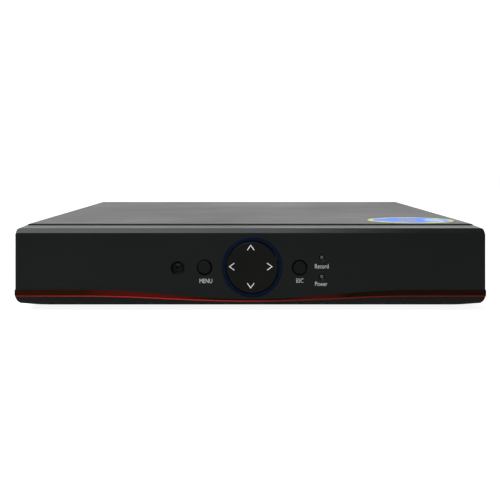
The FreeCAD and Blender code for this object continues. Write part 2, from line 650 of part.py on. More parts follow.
def capacitors():
    places = [(98, 150, 4.0, 11.0), (88, 150, 4.0, 11.0), (98, 160, 3.15, 8.0), (78, 150, 3.15, 8.0),
              (-12, 150, 3.15, 8.0), (-20, 150, 3.15, 8.0), (70, 150, 3.15, 8.0)]
    made = []
    for x, d, r, h in places:
        can = rod_z(x, d, r, DECK, DECK + h)
        rim = [e for e in can.Edges if e.Closed and e.BoundBox.ZMin > DECK + h - 0.01]
        made.append(can.makeFillet(0.4, rim))
    return Part.makeCompound(made)


def cell_holder():
    ring = rod_z(-40, 160, 11.8, DECK, DECK + 4.6).cut(rod_z(-40, 160, 10.15, DECK + 1.2, DECK + 6))
    gap = block(-44, -36, 140, 152, DECK + 1.2, DECK + 6)
    return ring.cut(gap)


def coin_cell():
    cell = rod_z(-40, 160, 10.0, DECK + 1.3, DECK + 4.5)
    rim = [e for e in cell.Edges if e.Closed and e.BoundBox.ZMin > DECK + 4.4]
    return cell.makeFillet(0.4, rim)


def buzzer():
    can = rod_z(-68, 152, 6.0, DECK, DECK + 9.5)
    return can.cut(rod_z(-68, 152, 1.1, DECK + 6, DECK + 10))


def board_headers():
    """Sockets for the key cable and the drive cables, on the boards and on the drive."""
    x, back = KEY_CABLE_X, KEY_BOARD_D + BOARD_T
    made = [block(x - 5, x + 5, back, back + 2.6, BASE + 13.2, BASE + 17.2),
            block(x - 6, x + 6, BOARD_D[0] + 1, BOARD_D[0] + 7, DECK, DECK + 6)]
    for d, half_d, board_x, half_x, _ in DRIVE_CABLES.values():
        made.append(block(DRIVE_END - 6, DRIVE_END, d - half_d, d + half_d, PORT_Z - 2.8, PORT_Z + 2.8))
        made.append(block(board_x - half_x, board_x + half_x, BOARD_D[0] + 1, BOARD_D[0] + 8, DECK, DECK + 6))
    return Part.makeCompound(made)


# ---------------------------------------------------------------- rear sockets
def bnc_housing():
    solid = block(BNC_X[0] - 9, BNC_X[-1] + 9, 203, WALL_D - 0.1, DECK, DECK + 15)
    solid = round_along(solid, 0.6, Vector(0, 1, 0))
    gaps = [block(x + 8.7, x + 9.3, 202, 214, DECK + 1.5, DECK + 16) for x in BNC_X[:-1]]
    return cut(solid, [rod_y(x, BNC_Z, 6.3, 214, WALL_D + 1) for x in BNC_X] + gaps)


def bnc_barrel(x):
    tip = CASE_D + BNC_OUT
    body = fuse([rod_y(x, BNC_Z, 6.2, 214.1, CASE_D + 0.7), rod_y(x, BNC_Z, 4.85, CASE_D, tip)])
    lugs = [Part.makeCylinder(1.0, 1.0, Vector(x, FACE_Y + CASE_D + 7.6, BNC_Z + s * 4.6), Vector(0, 0, s))
            for s in (-1, 1)]
    bores = [rod_y(x, BNC_Z, 4.05, CASE_D + 2.5, tip + 1), rod_y(x, BNC_Z, 2.45, 213, CASE_D + 3)]
    return round_rims(cut(fuse([body] + lugs), bores), 0.35, tip)


def bnc_barrels():
    return Part.makeCompound([bnc_barrel(x) for x in BNC_X])


def bnc_insulators():
    return Part.makeCompound([tube_y(x, BNC_Z, 0.72, 2.4, 216, CASE_D + 9.2) for x in BNC_X])


def bnc_contacts():
    made = []
    for x in BNC_X:
        pin = rod_y(x, BNC_Z, 0.68, 216, CASE_D + 8.8)
        made.append(pin.cut(rod_y(x, BNC_Z, 0.42, CASE_D + 4, CASE_D + 9)))
    return Part.makeCompound(made)


def audio_housing():
    """Block with two phono sockets' plastic cores."""
    block_ = block(AUDIO_X[0] - 6.5, AUDIO_X[-1] + 6.5, 206, WALL_D - 0.1, DECK, DECK + 13.2)
    solid = round_along(block_, 0.6, Vector(0, 1, 0))
    cores = [rod_y(x, AUDIO_Z, 3.3, 210, CASE_D + 8.4) for x in AUDIO_X]
    seats = [tube_y(x, AUDIO_Z, 3.3, 4.4, 213, WALL_D + 1) for x in AUDIO_X]
    bores = [rod_y(x, AUDIO_Z, 1.65, 208, CASE_D + 9) for x in AUDIO_X]
    return cut(fuse([cut(solid, seats)] + cores), bores)


def audio_shells():
    made = []
    for x in AUDIO_X:
        shell = tube_y(x, AUDIO_Z, 3.35, 4.15, 213.1, CASE_D + 9)
        shell = shell.fuse(tube_y(x, AUDIO_Z, 3.35, 5.4, CASE_D + 0.05, CASE_D + 0.85)).removeSplitter()
        made.append(shell)
    return Part.makeCompound(made)


def d_outline(grow, d0, d1):
    """The D-shaped section of the video socket, grown outwards by grow."""
    top, bottom, h = 8.2 + grow, 7.0 + grow, 4.0 + grow
    corners = [(-bottom, -h), (bottom, -h), (top, h), (-top, h)]
    edges = [line((MON_X + a[0], MON_Z + a[1]), (MON_X + b[0], MON_Z + b[1]))
             for a, b in zip(corners, corners[1:] + corners[:1])]
    return round_along(front_outline(edges, d0, d1), 1.4 + grow, Vector(0, 1, 0))


def monitor_shell():
    flange = plate_xz(MON_X, MON_Z, 30.8, 12.6, 1.0, 217.9, WALL_D - 0.1)
    holes = [rod_y(MON_X + s * MON_PITCH / 2, MON_Z, 1.6, 217, CASE_D) for s in (-1, 1)]
    outer = d_outline(0, 217.9, CASE_D + 5.6)
    return cut(flange.fuse(outer), holes + [d_outline(-0.45, 217, CASE_D + 6)]).removeSplitter()


def monitor_insert():
    solid = d_outline(-0.5, 216.5, CASE_D + 5.0)
    solid = solid.fuse(block(MON_X - 15, MON_X + 15, 208, 217.8, DECK, DECK + 12.6))
    pins = []
    for row, shift in ((2.3, 0), (0, 1.15), (-2.3, 0)):
        first = MON_X - 5.1 + shift
        pins += [rod_y(first + 2.3 * i, MON_Z + row, 0.5, CASE_D - 1, CASE_D + 6) for i in range(5)]
    studs = [rod_y(MON_X + side * MON_PITCH / 2, MON_Z, 1.6, 215, 218) for side in (-1, 1)]
    return cut(solid, pins + studs)


def hexagon(x, z, across, d0, d1):
    r = across / math.sqrt(3)
    angles = [math.radians(60 * i) for i in range(6)]
    corners = [(x + r * math.cos(a), z + r * math.sin(a)) for a in angles]
    return front_outline([line(a, b) for a, b in zip(corners, corners[1:] + corners[:1])], d0, d1)


def monitor_jackscrews():
    made = []
    for s in (-1, 1):
        x = MON_X + s * MON_PITCH / 2
        nut = hexagon(x, MON_Z, 4.75, CASE_D + 0.05, CASE_D + 5.0)
        stud = rod_y(x, MON_Z, 1.45, 216.5, CASE_D + 1)
        made.append(nut.fuse(stud).cut(rod_y(x, MON_Z, 1.3, CASE_D, CASE_D + 6)))
    return Part.makeCompound(made)


def hd_video_outline(grow, d0, d1):
    w, h, step = 7.3 + grow, 2.75 + grow, 1.6
    corners = [(-w + step, -h), (w - step, -h), (w, -h + step), (w, h), (-w, h), (-w, -h + step)]
    edges = [line((HD_X + a[0], HD_Z + a[1]), (HD_X + b[0], HD_Z + b[1]))
             for a, b in zip(corners, corners[1:] + corners[:1])]
    return front_outline(edges, d0, d1)


def hd_video_shell():
    return hd_video_outline(0, 208.5, CASE_D + 0.8).cut(hd_video_outline(-0.4, 208, CASE_D + 1))


def hd_video_tongue():
    root = hd_video_outline(-0.45, 208.6, 211)
    tongue = block(HD_X - 5.9, HD_X + 5.9, 210.5, CASE_D - 0.4, HD_Z - 0.1, HD_Z + 1.2)
    return root.fuse(tongue).removeSplitter()


def lan_shield():
    outer = plate_xz(LAN_X, LAN_Z, 16.2, 13.6, 0.4, 200, CASE_D + 0.8)
    return outer.cut(block(LAN_X - 7.7, LAN_X + 7.7, 200.4, CASE_D + 2, LAN_Z - 6.4, LAN_Z + 6.4))


def lan_insert():
    """Plastic body of the network socket, with the plug's opening and its latch slot."""
    body = block(LAN_X - 7.65, LAN_X + 7.65, 200.5, CASE_D + 0.6, LAN_Z - 6.35, LAN_Z + 6.35)
    opening = block(LAN_X - 5.95, LAN_X + 5.95, 207, CASE_D + 2, LAN_Z - 3.6, LAN_Z + 4.3)
    slots = [block(LAN_X - 3.1, LAN_X + 3.1, 207, CASE_D + 2, LAN_Z - 5.2, LAN_Z - 3.5),
             block(LAN_X - 1.7, LAN_X + 1.7, 207, CASE_D + 2, LAN_Z - 5.9, LAN_Z - 5.1)]
    grooves = [block(LAN_X - 4.7 + 1.27 * i, LAN_X - 4.2 + 1.27 * i, 207, CASE_D - 1,
                      LAN_Z + 4.2, LAN_Z + 4.8) for i in range(8)]
    return cut(body, [opening] + slots + grooves)


def usb_levels():
    return [USB_Z - 3.95, USB_Z + 3.95]


def usb_shell():
    outer = plate_xz(USB_X, USB_Z, 14.6, 16.0, 0.5, 203, CASE_D + 0.9)
    return cut(outer, [plate_xz(USB_X, z, 13.2, 5.7, 0.3, 203.5, CASE_D + 2) for z in usb_levels()])


def usb_tongues():
    made = []
    for z in usb_levels():
        root = block(USB_X - 6.4, USB_X + 6.4, 203.6, 208, z - 2.65, z + 2.65)
        tongue = block(USB_X - 5.6, USB_X + 5.6, 207.5, CASE_D - 0.6, z + 0.2, z + 2.1)
        made.append(root.fuse(tongue).removeSplitter())
    return Part.makeCompound(made)


def dc_jack():
    body = round_along(block(POWER_X - 4.6, POWER_X + 4.6, 206, WALL_D - 0.1, DECK, DECK + 11.2), 0.5,
                       Vector(0, 1, 0))
    nose = round_rims(rod_y(POWER_X, POWER_Z, 5.1, WALL_D - 3, CASE_D + 1.6), 0.4, CASE_D + 1.6)
    nose = nose.common(block(POWER_X - 6, POWER_X + 6, 200, 230, DECK, DECK + 12))
    return fuse([body, nose]).cut(rod_y(POWER_X, POWER_Z, 3.2, 210, CASE_D + 3))


def dc_pin():
    pin = rod_y(POWER_X, POWER_Z, 1.0, 210, CASE_D + 0.2)
    return round_rims(pin, 0.5, CASE_D + 0.2)


# ---------------------------------------------------------------- hard drive
def in_drive(x, d, z):
    return Vector(DRIVE_X + x, FACE_Y + DRIVE_D + d, DRIVE_Z + z)


def drive_rod(x, d, r, z0, z1):
    return Part.makeCylinder(r, z1 - z0, in_drive(x, d, z0))


def drive_block(x0, x1, d0, d1, z0, z1):
    return Part.makeBox(x1 - x0, d1 - d0, z1 - z0, in_drive(x0, d0, z0))


def hdd_base():
    """Cast tub with a round well for the discs, a bay for the arm and a recess for the board."""
    solid = drive_block(0, DRIVE_L, 0, DRIVE_W, 0, DRIVE_H - DRIVE_LID)
    solid = round_along(solid, 3.0, Vector(0, 0, 1))
    well = drive_rod(*SPINDLE, PLATTER_R + 1.7, DRIVE_FLOOR, DRIVE_H)
    bay = round_along(drive_block(60, 136, 5, 96.6, DRIVE_FLOOR, DRIVE_H), 4.0, Vector(0, 0, 1))
    recess = drive_block(50, DRIVE_L - 6.2, 8, DRIVE_W - 8, -1, 2.4)
    sockets = [block(DRIVE_END - 6.2, DRIVE_END + 1, d - half_d - 0.5, d + half_d + 0.5,
                     DRIVE_Z - 1, PORT_Z + 3.2) for d, half_d, _, _, _ in DRIVE_CABLES.values()]
    holes = [drive_rod(x, d, HOLE_R, -1, 4.2) for x, d in DRIVE_HOLES]
    lid_holes = [drive_rod(x, d, 1.0, DRIVE_H - 6, DRIVE_H) for x, d in lid_screw_places()]
    return cut(solid, [well, bay, recess] + sockets + holes + lid_holes)


def lid_screw_places():
    return [(x, d) for x in (4.5, 142.0) for d in (4.5, DRIVE_W - 4.5)]


def hdd_lid():
    """Pressed lid with a raised oval over the discs."""
    lid = drive_block(0.3, DRIVE_L - 0.3, 0.3, DRIVE_W - 0.3, DRIVE_H - DRIVE_LID, DRIVE_H - 0.4)
    lid = round_along(lid, 2.7, Vector(0, 0, 1))
    raised = drive_block(8, 130, 8, DRIVE_W - 8, DRIVE_H - DRIVE_LID, DRIVE_H)
    raised = round_along(raised, 18.0, Vector(0, 0, 1))
    holes = [drive_rod(x, d, 1.0, DRIVE_H - 3, DRIVE_H + 1) for x, d in lid_screw_places()]
    return cut(lid.fuse(raised).removeSplitter(), holes)


def hdd_board():
    board = drive_block(52, DRIVE_L - 8, 10, DRIVE_W - 10, 0.2, 1.8)
    return cut(board, [drive_rod(x, d, 4.5, -1, 3) for x, d in DRIVE_HOLES])


def hdd_platters():
    """Two discs on the spindle hub, with their clamp."""
    discs = [drive_rod(*SPINDLE, PLATTER_R, z, z + 1.3) for z in (10.0, 15.0)]
    hub = drive_rod(*SPINDLE, 12.5, 6.0, 18.0)
    clamp = drive_rod(*SPINDLE, 15.5, 16.3, 18.6)
    return fuse([hub, clamp] + discs)


def hdd_actuator():
    """Arm stack on its pivot, with the coil on the far side."""
    x, d = ARM_PIVOT
    hub = drive_rod(x, d, 7.5, 6.0, 21.0)
    parts = [hub]
    for z in (7.6, 12.6, 17.8):
        arm = Part.makePolygon([in_drive(x, d - 6.5, z), in_drive(x + ARM_L - 2, d - 1.6, z),
                                in_drive(x + ARM_L, d, z), in_drive(x + ARM_L - 2, d + 1.6, z),
                                in_drive(x, d + 6.5, z), in_drive(x, d - 6.5, z)])
        parts.append(Part.Face(arm).extrude(Vector(0, 0, 1.0)))
    coil = Part.makePolygon([in_drive(x, d - 5, 10), in_drive(x - 15, d - 6, 10), in_drive(x - 16, d, 10),
                             in_drive(x - 15, d + 6, 10), in_drive(x, d + 5, 10), in_drive(x, d - 5, 10)])
    parts.append(Part.Face(coil).extrude(Vector(0, 0, 6.0)))
    stack = fuse(parts)
    stack.rotate(in_drive(x, d, 0), Vector(0, 0, 1), ARM_PARK)
    return stack


# ---------------------------------------------------------------- cables held inside the case
def route(points, radii):
    """Straight runs between points, joined at each corner by a tangent arc of the given radius."""
    edges, start = [], points[0]
    for before, corner, after, radius in zip(points, points[1:], points[2:], radii):
        into, out = (corner - before).normalize(), (after - corner).normalize()
        turn = into.getAngle(out)
        reach = radius * math.tan(turn / 2)
        inward = (out - into).normalize()
        middle = corner + inward * (radius / math.cos(turn / 2) - radius)
        a, b = corner - into * reach, corner + out * reach
        edges += [Part.LineSegment(start, a).toShape(), Part.Arc(a, middle, b).toShape()]
        start = b
    edges.append(Part.LineSegment(start, points[-1]).toShape())
    return Part.Wire(edges)


def swept(name, points, radii, section, area):
    """A cable with this closed section along its route. Prints its length, radii and fullness."""
    path = route(points, radii)
    solid = path.makePipeShell([section], True, False)
    share = solid.Volume / (area * path.Length)
    print(f"{name}: length {path.Length:.1f} mm, radii {radii}, volume / (section x length) {share:.3f}")
    return solid


def key_cable():
    """Ribbon from the key board, through the front wall, along the floor to the main board."""
    x, low, start = KEY_CABLE_X, FLOOR + 1.0, KEY_BOARD_D + BOARD_T + 1.3
    path = [(start, BASE + 13.2), (start, BASE + 8.0), (34, BASE + 8.0), (54, low), (104, low),
            (BOARD_D[0] - 8, DECK + 3), (BOARD_D[0] + 1, DECK + 3)]
    points = [Vector(x, FACE_Y + d, z) for d, z in path]
    w, t = RIBBON_W / 2, RIBBON_T / 2
    corners = [points[0] + Vector(i * w, j * t, 0) for i, j in ((1, 1), (-1, 1), (-1, -1), (1, -1))]
    section = Part.Wire(Part.makePolygon(corners + corners[:1]).Edges)
    return swept("key_cable", points, [3.0, 20.0, 20.0, 20.0, 12.0], section, RIBBON_W * RIBBON_T)


def drive_cable(name):
    """Round cable out of the drive's end, through one wide bend, back and up to the main board."""
    d, _, board_x, _, r = DRIVE_CABLES[name]
    high, stop = DECK + 3, BOARD_D[0] - PLUG_L
    points = [Vector(DRIVE_END + PLUG_L, FACE_Y + d, PORT_Z), Vector(board_x, FACE_Y + d, PORT_Z),
              Vector(board_x, FACE_Y + stop - 6, high), Vector(board_x, FACE_Y + stop, high)]
    section = Part.Wire(Part.makeCircle(r, points[0], Vector(1, 0, 0)))
    bend = min(board_x - DRIVE_END - PLUG_L - 1, 24.0)
    return swept(name + "_cable", points, [bend, 14.0], section, math.pi * r ** 2)


def cable_plugs():
    """Plugs on the ends of the drive cables."""
    made = []
    for d, half_d, board_x, half_x, _ in DRIVE_CABLES.values():
        stop = BOARD_D[0] + 1
        made.append(block(DRIVE_END, DRIVE_END + PLUG_L, d - half_d, d + half_d, PORT_Z - 2.8, PORT_Z + 2.8))
        made.append(block(board_x - half_x, board_x + half_x, BOARD_D[0] - PLUG_L, stop,
                          DECK + 0.3, DECK + 5.7))
    return Part.makeCompound(made)


PARTS = {
    "front_panel": front_panel,
    "red_trim_strip": red_trim_strip,
    "dpad_ring": dpad_ring,
    "dpad_cap": dpad_cap,
    "dpad_gimbal": dpad_gimbal,
    "menu_button": lambda: button("menu"),
    "esc_button": lambda: button("esc"),
    "ir_receiver": ir_receiver,
    "record_led": lambda: led("record"),
    "power_led": lambda: led("power"),
    "key_board": key_board,
    "key_switches": key_switches,
    "key_board_screws": key_board_screws,
    "top_cover": top_cover,
    "base_tray": base_tray,
    "cover_screws": cover_screws,
    "rubber_feet": rubber_feet,
    "cover_label": cover_label,
    "main_board": main_board,
    "inside_screws": inside_screws,
    "processor": processor,
    "board_chips": board_chips,
    "heatsink": heatsink,
    "capacitors": capacitors,
    "cell_holder": cell_holder,
    "coin_cell": coin_cell,
    "buzzer": buzzer,
    "board_headers": board_headers,
    "bnc_housing": bnc_housing,
    "bnc_barrels": bnc_barrels,
    "bnc_insulators": bnc_insulators,
    "bnc_contacts": bnc_contacts,
    "audio_housing": audio_housing,
    "audio_shells": audio_shells,
    "monitor_shell": monitor_shell,
    "monitor_insert": monitor_insert,
    "monitor_jackscrews": monitor_jackscrews,
    "hd_video_shell": hd_video_shell,
    "hd_video_tongue": hd_video_tongue,
    "lan_shield": lan_shield,
    "lan_insert": lan_insert,
    "usb_shell": usb_shell,
    "usb_tongues": usb_tongues,
    "dc_jack": dc_jack,
    "dc_pin": dc_pin,
    "hdd_base": hdd_base,
    "hdd_lid": hdd_lid,
    "hdd_board": hdd_board,
    "hdd_platters": hdd_platters,
    "hdd_actuator": hdd_actuator,
    "key_cable": key_cable,
    "data_cable": lambda: drive_cable("data"),
    "power_cable": lambda: drive_cable("power"),
    "cable_plugs": cable_plugs,
}
for key in key_places():
    PARTS[key + "_plunger"] = lambda key=key: plunger(key)


def main():
    os.makedirs("parts", exist_ok=True)
    for name, make in PARTS.items():
        shape = make()
        solids = shape.Solids
        bad = [s for s in solids if not s.isValid() or s.Volume <= 0]
        note = " INVALID" if bad else ""
        print(f"{name}: {len(solids)} solids, {sum(s.Volume for s in solids):.1f} mm3{note}")
        shape.exportStep(f"parts/{name}.step")


main()
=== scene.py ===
"""Looks of the compact video recorder: finishes, printed marks, studio and camera."""

import json
import math

import bpy
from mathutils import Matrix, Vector


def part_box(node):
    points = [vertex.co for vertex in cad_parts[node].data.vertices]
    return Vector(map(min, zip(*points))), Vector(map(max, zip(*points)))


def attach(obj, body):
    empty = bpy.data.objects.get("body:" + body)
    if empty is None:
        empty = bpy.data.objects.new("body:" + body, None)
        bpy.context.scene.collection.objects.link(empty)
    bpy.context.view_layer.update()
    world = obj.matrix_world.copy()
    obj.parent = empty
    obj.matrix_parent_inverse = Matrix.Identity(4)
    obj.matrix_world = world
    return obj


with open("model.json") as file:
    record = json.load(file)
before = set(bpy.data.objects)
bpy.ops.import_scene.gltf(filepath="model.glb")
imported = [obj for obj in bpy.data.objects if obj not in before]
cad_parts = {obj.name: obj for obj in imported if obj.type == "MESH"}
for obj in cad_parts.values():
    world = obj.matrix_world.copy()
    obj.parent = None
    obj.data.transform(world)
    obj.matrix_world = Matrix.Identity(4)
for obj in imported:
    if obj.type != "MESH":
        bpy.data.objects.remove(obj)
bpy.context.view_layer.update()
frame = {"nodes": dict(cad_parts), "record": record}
MM = 0.001

# ---------------------------------------------------------------- places taken from the frame
panel_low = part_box("front_panel")[0]
FACE_Y = panel_low.y
PANEL_BASE = panel_low.z
REAR_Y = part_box("base_tray")[1].y
COVER_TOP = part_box("top_cover")[1].z
ring_low, ring_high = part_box("dpad_ring")
RING = (ring_low + ring_high) / 2


def new_object(name, data):
    """An object for this mesh, lamp or camera, in the scene."""
    shape = bpy.data.objects.new(name, data)
    bpy.context.scene.collection.objects.link(shape)
    return shape


# ---------------------------------------------------------------- finishes
def new_material(name):
    material = bpy.data.materials.new(name)
    material.use_nodes = True
    tree = material.node_tree
    return material, tree, tree.nodes["Principled BSDF"]


def noise(tree, scale, detail=4.0, stretch=(1, 1, 1)):
    """A noise pattern fixed to the object, with features of about 1 / scale metres."""
    place = tree.nodes.new("ShaderNodeTexCoord")
    mapping = tree.nodes.new("ShaderNodeMapping")
    mapping.inputs["Scale"].default_value = stretch
    pattern = tree.nodes.new("ShaderNodeTexNoise")
    pattern.inputs["Scale"].default_value = scale
    pattern.inputs["Detail"].default_value = detail
    tree.links.new(place.outputs["Object"], mapping.inputs["Vector"])
    tree.links.new(mapping.outputs["Vector"], pattern.inputs["Vector"])
    return pattern.outputs["Fac"]


def spread(tree, value, low, high):
    """Maps a noise value to the range low..high."""
    node = tree.nodes.new("ShaderNodeMapRange")
    node.inputs["From Min"].default_value = 0.3
    node.inputs["From Max"].default_value = 0.7
    node.inputs["To Min"].default_value = low
    node.inputs["To Max"].default_value = high
    tree.links.new(value, node.inputs["Value"])
    return node.outputs["Result"]


def mixed(tree, factor, a, b):
    """Colour a where factor is 0, b where it is 1. a and b are colours or sockets."""
    node = tree.nodes.new("ShaderNodeMix")
    node.data_type = "RGBA"
    tree.links.new(factor, node.inputs["Factor"])
    for socket, colour in ((node.inputs[6], a), (node.inputs[7], b)):
        if isinstance(colour, tuple):
            socket.default_value = (*colour, 1)
        else:
            tree.links.new(colour, socket)
    return node.outputs[2]


def maths(tree, operation, a, b=0.0):
    node = tree.nodes.new("ShaderNodeMath")
    node.operation = operation
    for socket, value in zip(node.inputs, (a, b)):
        if isinstance(value, (int, float)):
            socket.default_value = value
        else:
            tree.links.new(value, socket)
    return node.outputs["Value"]


def split(tree, vector):
    """The X, Y and Z of a vector socket."""
    node = tree.nodes.new("ShaderNodeSeparateXYZ")
    tree.links.new(vector, node.inputs["Vector"])
    return node.outputs["X"], node.outputs["Y"], node.outputs["Z"]


def finish(name, colour, rough, metal=0.0, spec=0.5, grain=2500, bump=0.15, depth=0.00002, vary=0.12,
           stretch=(1, 1, 1), coat=0.0):
    """A surface with fine grain, slow colour drift and worn patches that are a little shinier."""
    material, tree, shader = new_material(name)
    drift = noise(tree, 35, 3)
    worn = noise(tree, 12, 6)
    darker = tuple(c * (1 - vary) for c in colour)
    lighter = tuple(min(c * (1 + vary), 1) for c in colour)
    tree.links.new(mixed(tree, spread(tree, drift, 0, 1), darker, lighter), shader.inputs["Base Color"])
    tree.links.new(spread(tree, worn, rough + 0.05, max(rough - 0.05, 0.04)), shader.inputs["Roughness"])
    shader.inputs["Metallic"].default_value = metal
    shader.inputs["Specular IOR Level"].default_value = spec
    shader.inputs["Coat Weight"].default_value = coat
    relief = tree.nodes.new("ShaderNodeBump")
    relief.inputs["Strength"].default_value = bump
    relief.inputs["Distance"].default_value = depth
    tree.links.new(noise(tree, grain, 2, stretch), relief.inputs["Height"])
    tree.links.new(relief.outputs["Normal"], shader.inputs["Normal"])
    return material


TRIM_PAINTED_REFLECTIONS = [(-105, 70, (0.021, 0.0050, 0.0012)),     # painted reflections on the acrylic; left end: middle and reach in mm, colour
             (-55, 36, (0.078, 0.005, 0.0035)),       # painted reflection on the left slope of the wave
             (36, 16, (0.050, 0.006, 0.0035))]        # painted reflection on the right slope
TRIM_BEVEL_HIGHLIGHT = [(0.22, 0.018, 0.012), (0.58, 0.035, 0.026)]     # painted highlight of refracted light on the lower bevel, at its dullest and brightest
# where the painted bevel highlight is brightest, and how far it reaches, in mm
BEVEL_HIGHLIGHT_MIDDLE, BEVEL_HIGHLIGHT_REACH = -58, 75


def trim_red():
    """Red acrylic: dark on its face, with a painted highlight on its lower bevel and painted reflections on
    both slopes of the wave.
    """
    material = finish("trim_red", (0.0105, 0.0036, 0.0014), 0.22, spec=0.03, grain=900, bump=0.05)
    tree = material.node_tree
    shader = tree.nodes["Principled BSDF"]
    body = shader.inputs["Base Color"].links[0].from_socket
    along_strip = split(tree, tree.nodes.new("ShaderNodeTexCoord").outputs["Object"])[0]

    def near(middle, reach):
        """1 at this place along the strip, falling to 0 at its reach on both sides."""
        along = maths(tree, "DIVIDE", maths(tree, "SUBTRACT", along_strip, middle * MM), reach * MM)
        fall = maths(tree, "SUBTRACT", 1.0, maths(tree, "MULTIPLY", along, along))
        return maths(tree, "MAXIMUM", fall, 0.0)

    # painted reflections: brighter red patches laid on the strip's colour by place along it
    for middle, reach, colour in TRIM_PAINTED_REFLECTIONS:
        body = mixed(tree, near(middle, reach), body, colour)
    # painted highlight: light refracted at the lower edge, brightest near one place along the strip
    line = mixed(tree, near(BEVEL_HIGHLIGHT_MIDDLE, BEVEL_HIGHLIGHT_REACH), *TRIM_BEVEL_HIGHLIGHT)
    # the painted highlight goes on faces that point downward, the lower bevel
    upward = split(tree, tree.nodes.new("ShaderNodeNewGeometry").outputs["Normal"])[2]
    down = tree.nodes.new("ShaderNodeMapRange")
    down.inputs["From Min"].default_value = -0.15
    down.inputs["From Max"].default_value = -0.6
    tree.links.new(upward, down.inputs["Value"])
    tree.links.new(mixed(tree, down.outputs["Result"], body, line), shader.inputs["Base Color"])
    return material


def label_print():
    """Generic oval label: yellow rim, blue field, a pale patch in the middle and another at the right."""
    material, tree, shader = new_material("label_print")
    x, y = split(tree, tree.nodes.new("ShaderNodeTexCoord").outputs["Generated"])[:2]
    waver = spread(tree, noise(tree, 110, 2), -0.22, 0.22)     # keeps the printed edges uneven

    def inside(cx, cy, rx, ry):
        """1 inside this ellipse of the label, 0 outside. Places are shares of its length and width."""
        u = maths(tree, "DIVIDE", maths(tree, "SUBTRACT", x, cx), rx)
        v = maths(tree, "DIVIDE", maths(tree, "SUBTRACT", y, cy), ry)
        square = maths(tree, "ADD", maths(tree, "MULTIPLY", u, u), maths(tree, "MULTIPLY", v, v))
        square = maths(tree, "ADD", square, waver)
        return maths(tree, "LESS_THAN", square, 1.0)

    colour = mixed(tree, inside(0.505, 0.5, 0.455, 0.42), (0.40, 0.40, 0.05), (0.017, 0.120, 0.62))
    colour = mixed(tree, inside(0.45, 0.5, 0.13, 0.24), colour, (0.13, 0.14, 0.20))
    colour = mixed(tree, inside(0.78, 0.5, 0.11, 0.26), colour, (0.20, 0.30, 0.46))
    tint = spread(tree, noise(tree, 400, 2), 0, 0.12)
    tree.links.new(mixed(tree, tint, colour, (0.2, 0.2, 0.2)), shader.inputs["Base Color"])
    tree.links.new(spread(tree, noise(tree, 60, 3), 0.30, 0.42), shader.inputs["Roughness"])
    shader.inputs["Specular IOR Level"].default_value = 0.05
    return material


